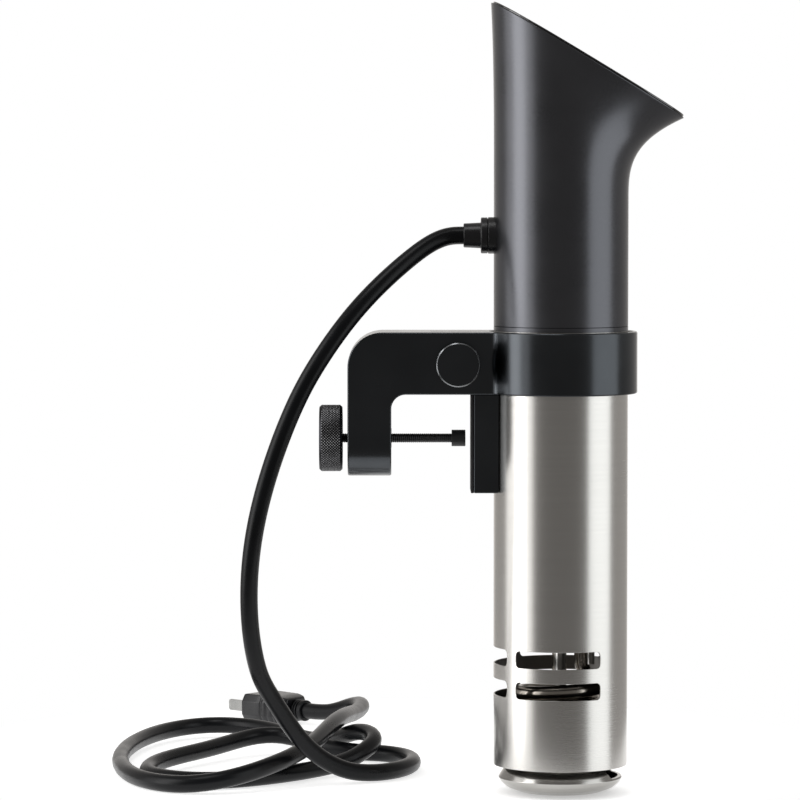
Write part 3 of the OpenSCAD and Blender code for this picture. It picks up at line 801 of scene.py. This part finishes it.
# ---- the clamp ----
arm_low, arm_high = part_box("clamp_collar")
COLLAR_R, ARM_REACH = arm_high.x, -arm_low.x
CLAMP_Z1, CLAMP_Z0 = arm_high.z, 203.6 * MM
ARM_HALF_W = SCREW_Z - arm_low.z
LEG_T = 22.1 * MM
ARM_CORNER = 17.7 * MM       # radius of the arm's outer corner
ARM_FILLET = 7.3 * MM        # and of its inner one
BLEND_R = 6 * MM
COLLAR_BORE = 35.6 * MM
SLIT_HALF_W = 1 * MM
SLIT_END = 66 * MM
ARM_JOIN = 70 * MM           # the arm's stations start here, left of the slit's end
NUT_POCKET_R = 6.7 * MM


def collar_outline():
    """The ring, its blends into the arm and the slit, from the arm's back edge to its front."""
    cy = ARM_HALF_W + BLEND_R
    cx = math.sqrt((COLLAR_R + BLEND_R) ** 2 - cy * cy)
    meet = math.degrees(math.atan2(cy, cx))
    side = [(-ARM_JOIN, ARM_HALF_W)]
    side += arc((-cx, cy), BLEND_R, -90, -meet, 8)
    ring = arc((0, 0), COLLAR_R, 180 - meet, 0, 80)
    back = side + ring[1:]
    outer = back + [(x, -y) for x, y in reversed(back[:-1])]
    slit = math.degrees(math.asin(SLIT_HALF_W / COLLAR_BORE))
    bore = arc((0, 0), COLLAR_BORE, 180 + slit, 540 - slit, 128)
    inner = [(-SLIT_END, -SLIT_HALF_W), *bore, (-SLIT_END, SLIT_HALF_W)]
    return outer, inner


def collar_shape():
    """Points and faces of the ring and the slit, open towards the arm's stations."""
    outer, inner = collar_outline()
    n_out, n_in = len(outer), len(inner)
    points, faces = [], []
    for z in (CLAMP_Z0, CLAMP_Z1):
        points += [(x, y, z) for x, y in outer + inner]
    total = n_out + n_in
    # the outline runs from the arm's back corner round the ring to its front corner, and the
    # slit and bore run back; two bridges beside the slit's end close each flat face
    mid_out = n_out // 2
    mid_in = n_out + n_in // 2
    back = list(range(0, mid_out + 1)) + list(range(mid_in, total))
    front = list(range(mid_out, n_out)) + list(range(n_out, mid_in + 1))
    for half in (back, front):
        faces.append(tuple(half))
        faces.append(tuple(total + i for i in reversed(half)))
    # the strip between the slit's end and the arm's stations
    strip = (0, total - 1, n_out, n_out - 1)
    faces.append(strip)
    faces.append(tuple(total + i for i in reversed(strip)))
    for i in (*range(n_out - 1), *range(n_out, total - 1)):
        faces.append((i, i + 1, total + i + 1, total + i))
    faces.append((total - 1, n_out, total + n_out, 2 * total - 1))
    return points, faces


def make_arm():
    """Ring, arm and leg in one casting; the leg's lower end is a half round."""
    points, faces = collar_shape()
    # stations down the arm: inner and outer point of each section, as (x, z)
    leg_x = ARM_REACH - LEG_T
    inner_side = arc((-leg_x + ARM_FILLET, CLAMP_Z0 - ARM_FILLET), ARM_FILLET, 90, 180, 16)
    outer_side = arc((-ARM_REACH + ARM_CORNER, CLAMP_Z1 - ARM_CORNER), ARM_CORNER, 90, 180, 16)
    inner_side = [(-ARM_JOIN, CLAMP_Z0), *inner_side, (-leg_x, SCREW_Z)]
    outer_side = [(-ARM_JOIN, CLAMP_Z1), *outer_side, (-ARM_REACH, SCREW_Z)]
    start = len(points)
    for (xi, zi), (xo, zo) in zip(inner_side, outer_side):
        points += [(xi, ARM_HALF_W, zi), (xi, -ARM_HALF_W, zi),
                   (xo, -ARM_HALF_W, zo), (xo, ARM_HALF_W, zo)]
    for i in range(len(inner_side) - 1):
        a = start + 4 * i
        faces += [(a + k, a + (k + 1) % 4, a + 4 + (k + 1) % 4, a + 4 + k) for k in range(4)]
    # the half-round end
    half_round = arc((0, SCREW_Z), ARM_HALF_W, 0, -180, 48)
    first = len(points)
    for x in (-leg_x, -ARM_REACH):
        points += [(x, y, z) for y, z in half_round]
    n = len(half_round)
    faces += [(first + k, first + k + 1, first + n + k + 1, first + n + k) for k in range(n - 1)]
    faces += [tuple(range(first, first + n)), tuple(range(first + 2 * n - 1, first + n - 1, -1))]
    piece = solid("clamp_arm", points, faces, "paint", "clamp",
                  ["clamp_collar"], bevel=0.9 * MM, steps=4)
    nut_low, nut_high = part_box("collar_nut")
    centre_x, centre_z = (nut_low.x + nut_high.x) / 2, (nut_low.z + nut_high.z) / 2
    pocket = arc((centre_x, centre_z), NUT_POCKET_R, 0, 300, 5)
    cut(piece, *extruded(pocket, upended, nut_low.y, ARM_HALF_W + 2 * MM))


def make_jaw():
    """The fixed jaw: a block hollowed to clear the tube, and its rubber pad."""
    low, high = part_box("fixed_jaw")
    relief = 34.4 * MM
    a0 = math.degrees(math.asin(high.y / relief))
    outline = [(low.x, -high.y), (low.x, high.y)]
    outline += arc((0, 0), relief, 180 - a0, 180 + a0, 16)
    points, faces = extruded(outline, flat, low.z, high.z)
    solid("jaw_block", points, faces, "paint", "clamp", ["fixed_jaw"],
          bevel=0.6 * MM)
    low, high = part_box("jaw_pad")
    outline = [(high.x, low.y), (low.x, low.y), (low.x, high.y), (high.x, high.y)]
    points, faces = extruded(outline, flat, low.z, high.z)
    solid("jaw_rubber", points, faces, "soft_rubber", "clamp", ["jaw_pad"],
          bevel=0.4 * MM)


def make_bush():
    """The screw's bush, seen as a ring just proud of the leg on both sides."""
    low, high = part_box("threaded_bush")
    outer, inner = -low.x + 0.12 * MM, -high.x - 0.12 * MM
    profile = [(2.45, inner, 0.2), (5.0, inner, 0.1), (5.0, outer, 0.1), (2.45, outer, 0.2)]
    outline = rounded([(r * MM, h, f * MM) for r, h, f in profile], 3, True)
    points, faces = turned(outline, leftwards(SCREW_Z), 64, closed=True)
    solid("bush_insert", points, faces, "black_zinc", "clamp", ["threaded_bush"])


def make_nut():
    """The hexagon nut behind the arm, on the side knob's screw."""
    low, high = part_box("collar_nut")
    x, z = (low.x + high.x) / 2, (low.z + high.z) / 2
    hexagon = arc((x, z), (high.x - low.x) / 2, 0, 300, 5)
    points, faces = extruded(hexagon, upended, low.y, high.y - 0.4 * MM)
    solid("hex_nut", points, faces, "zinc", "clamp", ["collar_nut"], bevel=0.5 * MM,
          steps=2)


make_arm()
make_jaw()
make_bush()
make_nut()


# ---- knobs and screws ----
def make_side_knob():
    """A black disc whose front edge is a thin chamfer of lighter metal, a painted highlight."""
    low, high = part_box("side_knob")
    x, z, r = (low.x + high.x) / 2, (low.z + high.z) / 2, (high.x - low.x) / 2
    front, back = -low.y, -high.y
    chamfer, sunk = 0.5 * MM, 0.22 * MM
    face_r = r - chamfer - 0.3 * MM
    outline = rounded([(3 * MM, back, 0), (r - 0.6 * MM, back, 0.3 * MM),
                       (r, back + 0.8 * MM, 0.4 * MM), (r, front - chamfer, 0)], 3)
    points, faces = turned(capped(outline), forwards(x, z), 128)
    solid("side_disc", points, faces, "paint", "collar_knob", ["side_knob"],
          sharp=40)
    ring = [(r, front - chamfer), (r - chamfer, front), (r - chamfer - 0.12 * MM, front),
            (face_r, front - 0.3 * MM), (face_r - 0.2 * MM, front - chamfer)]
    points, faces = turned(ring, forwards(x, z), 128, closed=True)
    solid("side_ring", points, faces, "ring_highlight", "collar_knob", sharp=25)
    face = rounded([(face_r, front - chamfer, 0), (face_r, front - sunk, 0.15 * MM),
                    (0, front - sunk, 0)])
    points, faces = turned([(0, front - chamfer), *face], forwards(x, z), 128)
    solid("side_face", points, faces, "paint", "collar_knob", sharp=40)


KNURL_PITCH = 1.45 * MM
KNURL_DEPTH = 0.46 * MM


def wedge(t):
    """A triangle wave from 0 to 1 and back, one wave for each whole number."""
    return 1 - abs(2 * (t - math.floor(t)) - 1)


def make_thumb_knob():
    """The diamond-knurled knob on the pot screw: each ridge has four points to its pitch."""
    low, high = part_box("screw_knob")
    r, near, far = KNOB_R, -high.x, -low.x
    count, land = round(TAU * r / KNURL_PITCH) * 4, 1.15 * MM
    # rings (radius, h, knurled or not); a ring just inside each edge keeps the flats flat
    rows = [(0.0, near + 0.3 * MM, 0), (r - 3.5 * MM, near + 0.3 * MM, 0),
            (r - 3.2 * MM, near + 0.3 * MM, 0), (r - 2.9 * MM, near, 0), (r - 2.6 * MM, near, 0),
            (r - land - 0.4 * MM, near, 0), (r - land - 0.1 * MM, near, 0),
            (r - land, near + 0.02 * MM, 0)]
    bands = round((far - near - 2 * land) / (KNURL_PITCH / 4))
    rows += [(r, near + land + (far - near - 2 * land) * k / bands, 1) for k in range(bands + 1)]
    rows += [(r - land, far - 0.02 * MM, 0), (r - land - 0.1 * MM, far, 0),
             (r - land - 0.4 * MM, far, 0), (r - 3.3 * MM, far, 0), (r - 3.6 * MM, far, 0),
             (r - 4.2 * MM, far - 0.6 * MM, 0), (r - 4.5 * MM, far - 0.6 * MM, 0),
             (0.0, far - 0.6 * MM, 0)]
    points = []
    for radius, h, knurled in rows:
        for k in range(count):
            turn, along = k / 4, (h - near) / KNURL_PITCH
            ridge = min(wedge(turn + along), wedge(turn - along))
            here = radius - knurled * KNURL_DEPTH * (1 - ridge)
            points.append(leftwards(SCREW_Z)(here, TAU * k / count, h))
    solid("knurled_knob", points, ring_faces(len(rows), count), "knurl_black", "screw",
          ["screw_knob"], sharp=35)


THREAD_PITCH = 1 * MM
THREAD_DEPTH = 0.26 * MM


def make_screw():
    """The pot screw with its thread, right-handed, from the pad to the knob."""
    low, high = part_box("pot_screw")
    r, near, far = (high.z - low.z) / 2, -high.x, -low.x
    count, per_turn = 24, 8
    rows = round((far - near) / THREAD_PITCH * per_turn)
    points = []
    for i in range(rows + 1):
        h = near + (far - near) * i / rows
        for k in range(count):
            wave = wedge(h / THREAD_PITCH - k / count)
            here = r - THREAD_DEPTH * min(1.0, 1.25 * wave)    # the root has a narrow flat
            points.append(leftwards(SCREW_Z)(here, TAU * k / count, h))
    faces = ring_faces(rows + 1, count)
    faces += [tuple(range(count)), tuple(range((rows + 1) * count - 1, rows * count - 1, -1))]
    solid("threaded_rod", points, faces, "black_zinc", "screw", ["pot_screw"])


def make_tip():
    """The pad that the screw presses on the pot's wall with."""
    low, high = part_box("screw_pad")
    r, near, far = (high.z - low.z) / 2, -high.x, -low.x
    outline = rounded([(r - 0.9 * MM, near + 0.25 * MM, 0), (r - 0.8 * MM, near, 0.1 * MM),
                       (r, near, 0.35 * MM), (r, far, 0.3 * MM), (3.0 * MM, far, 0.2 * MM),
                       (2.4 * MM, far - 0.5 * MM, 0)], 3)
    points, faces = turned(capped(outline), leftwards(SCREW_Z), 64)
    solid("pad_tip", points, faces, "dark_nylon", "pad", ["screw_pad"], sharp=50)


make_side_knob()
make_thumb_knob()
make_screw()
make_tip()


# ---- finishes of the CAD nodes that show as they are ----
node_finishes = {
    "bearing_spider": "grey_plastic", "shaft_bush": "nylon", "temp_probe": "rod_steel",
    "level_probes": "rod_steel", "bulkhead": "shell", "bulkhead_seal": "soft_rubber",
    "shaft_seal": "soft_rubber", "motor_mount": "zinc", "mount_screws": "zinc",
    "motor_can": "zinc", "motor_stator": "copper", "power_board": "board",
    "display_module": "board", "gland_nut": "dark_nylon", "drive_shaft": "rod_steel",
    "impeller": "grey_plastic", "shaft_coupling": "soft_rubber", "motor_shaft": "rod_steel",
    "motor_rotor": "zinc", "cooling_fan": "grey_plastic", "collar_liner": "dark_nylon",
    "side_screw": "zinc",
}
for node_name, finish_name in node_finishes.items():
    for material_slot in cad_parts[node_name].material_slots:
        material_slot.material = finishes[finish_name]


# ---- floor and light ----
FLOOR_R = 0.26
FLOOR_AT = (-0.09, 0.135)    # under the middle of the tube, the coils and the plug
FLOOR_GLOW = (0.72, 1.0)     # own light of the floor, near the object and at the rim
UNDER_FOOT = 0.5             # how much of that light is left under the foot
FLOOR_UNDER = 0.2 * MM       # how far the floor lies below the object
WALL_COLOUR = (1.0, 0.965, 0.93, 1)
WALL_FRONT = 0.16            # brightness on the camera's side
WALL_BACK = 0.42
WALL_BEHIND = 0.55           # what the strip right behind the object adds to that


def make_floor():
    """A small pale disc whose rim glows, so that it has no edge against the white."""
    n = Nodes("floor")
    from_middle = n.add("ShaderNodeVectorMath", {0: n.place, 1: (*FLOOR_AT, 0)},
                        operation="DISTANCE").outputs["Value"]
    rim = n.between(from_middle, 0.0, 1.0, 0.70 * FLOOR_R, 0.97 * FLOOR_R)
    pale = n.mix(n.noise(0.5), (0.80, 0.80, 0.80, 1), (0.83, 0.83, 0.83, 1))
    from_foot = n.add("ShaderNodeVectorMath", {0: n.place}, operation="LENGTH").outputs["Value"]
    shadow = n.between(from_foot, UNDER_FOOT, 1.0, 25 * MM, 38 * MM)
    glow = n.add("ShaderNodeMath", {0: n.between(rim, *FLOOR_GLOW, 0.0, 1.0), 1: shadow},
                 operation="MULTIPLY").outputs[0]
    n.surface(Base_Color=n.mix(rim, pale, (0, 0, 0, 1)), Roughness=0.8, Specular_IOR_Level=0.0,
              Emission_Color=(1, 1, 1, 1), Emission_Strength=glow)
    points, faces = turned([(0.0, -FLOOR_UNDER), (FLOOR_R, -FLOOR_UNDER)], upright(*FLOOR_AT),
                           128)
    mesh = bpy.data.meshes.new("floor")
    mesh.from_pydata(points, [], faces)
    mesh.materials.append(n.material)
    floor = bpy.data.objects.new("floor", mesh)
    bpy.context.scene.collection.objects.link(floor)


def soft_box(name, azimuth, distance, height, width, tall, power, colour=(1, 1, 1), aim=0.22):
    """A rectangular lamp that faces the object. Azimuth 0 is the camera's side, 90 the right."""
    data = bpy.data.lights.new(name, "AREA")
    data.shape = "RECTANGLE"
    data.size, data.size_y = width, tall
    data.energy = power
    data.color = colour
    lamp = bpy.data.objects.new(name, data)
    a = math.radians(azimuth)
    lamp.location = (distance * math.sin(a), -distance * math.cos(a), height)
    direction = Vector((0, 0, aim)) - lamp.location
    lamp.rotation_euler = direction.to_track_quat("-Z", "Y").to_euler()
    lamp.visible_camera = False
    bpy.context.scene.collection.objects.link(lamp)


def make_world():
    """Grey studio walls, darker on the camera's side, seen as white behind the object."""
    world = bpy.data.worlds.new("studio")
    bpy.context.scene.world = world
    world.use_nodes = True
    tree = world.node_tree
    tree.nodes.clear()
    add, join = tree.nodes.new, tree.links.new
    split = add("ShaderNodeSeparateXYZ")
    join(add("ShaderNodeTexCoord").outputs["Generated"], split.inputs[0])
    both = add("ShaderNodeMath")
    # two ramps over the direction's Y, which is -1 at the camera and 1 behind the object
    for i, ramp in enumerate(((-0.9, 0.9, WALL_FRONT, WALL_BACK), (0.90, 0.97, 0.0, WALL_BEHIND))):
        node = add("ShaderNodeMapRange")
        for socket, value in zip(node.inputs[1:5], ramp):
            socket.default_value = value
        join(split.outputs["Y"], node.inputs[0])
        join(node.outputs[0], both.inputs[i])
    walls, white = add("ShaderNodeBackground"), add("ShaderNodeBackground")
    walls.inputs["Color"].default_value = WALL_COLOUR
    white.inputs["Color"].default_value = (1, 1, 1, 1)
    join(both.outputs[0], walls.inputs["Strength"])
    choose = add("ShaderNodeMixShader")
    join(add("ShaderNodeLightPath").outputs["Is Camera Ray"], choose.inputs[0])
    join(walls.outputs[0], choose.inputs[1])
    join(white.outputs[0], choose.inputs[2])
    join(choose.outputs[0], add("ShaderNodeOutputWorld").inputs["Surface"])


make_floor()
make_world()
# name, azimuth, distance, height, width, tall, power, colour
soft_box("left_box", -79, 1.3, 0.4, 1.5, 1.8, 9.0)
soft_box("left_core", -77, 1.25, 0.4, 0.55, 1.8, 6.5)
soft_box("right_box", 69, 1.3, 0.4, 1.12, 1.8, 8.4, (0.95, 0.985, 1.0))
soft_box("top_box", -40, 0.5, 1.7, 0.7, 0.7, 4)
bpy.context.scene.view_settings.view_transform = "Standard"
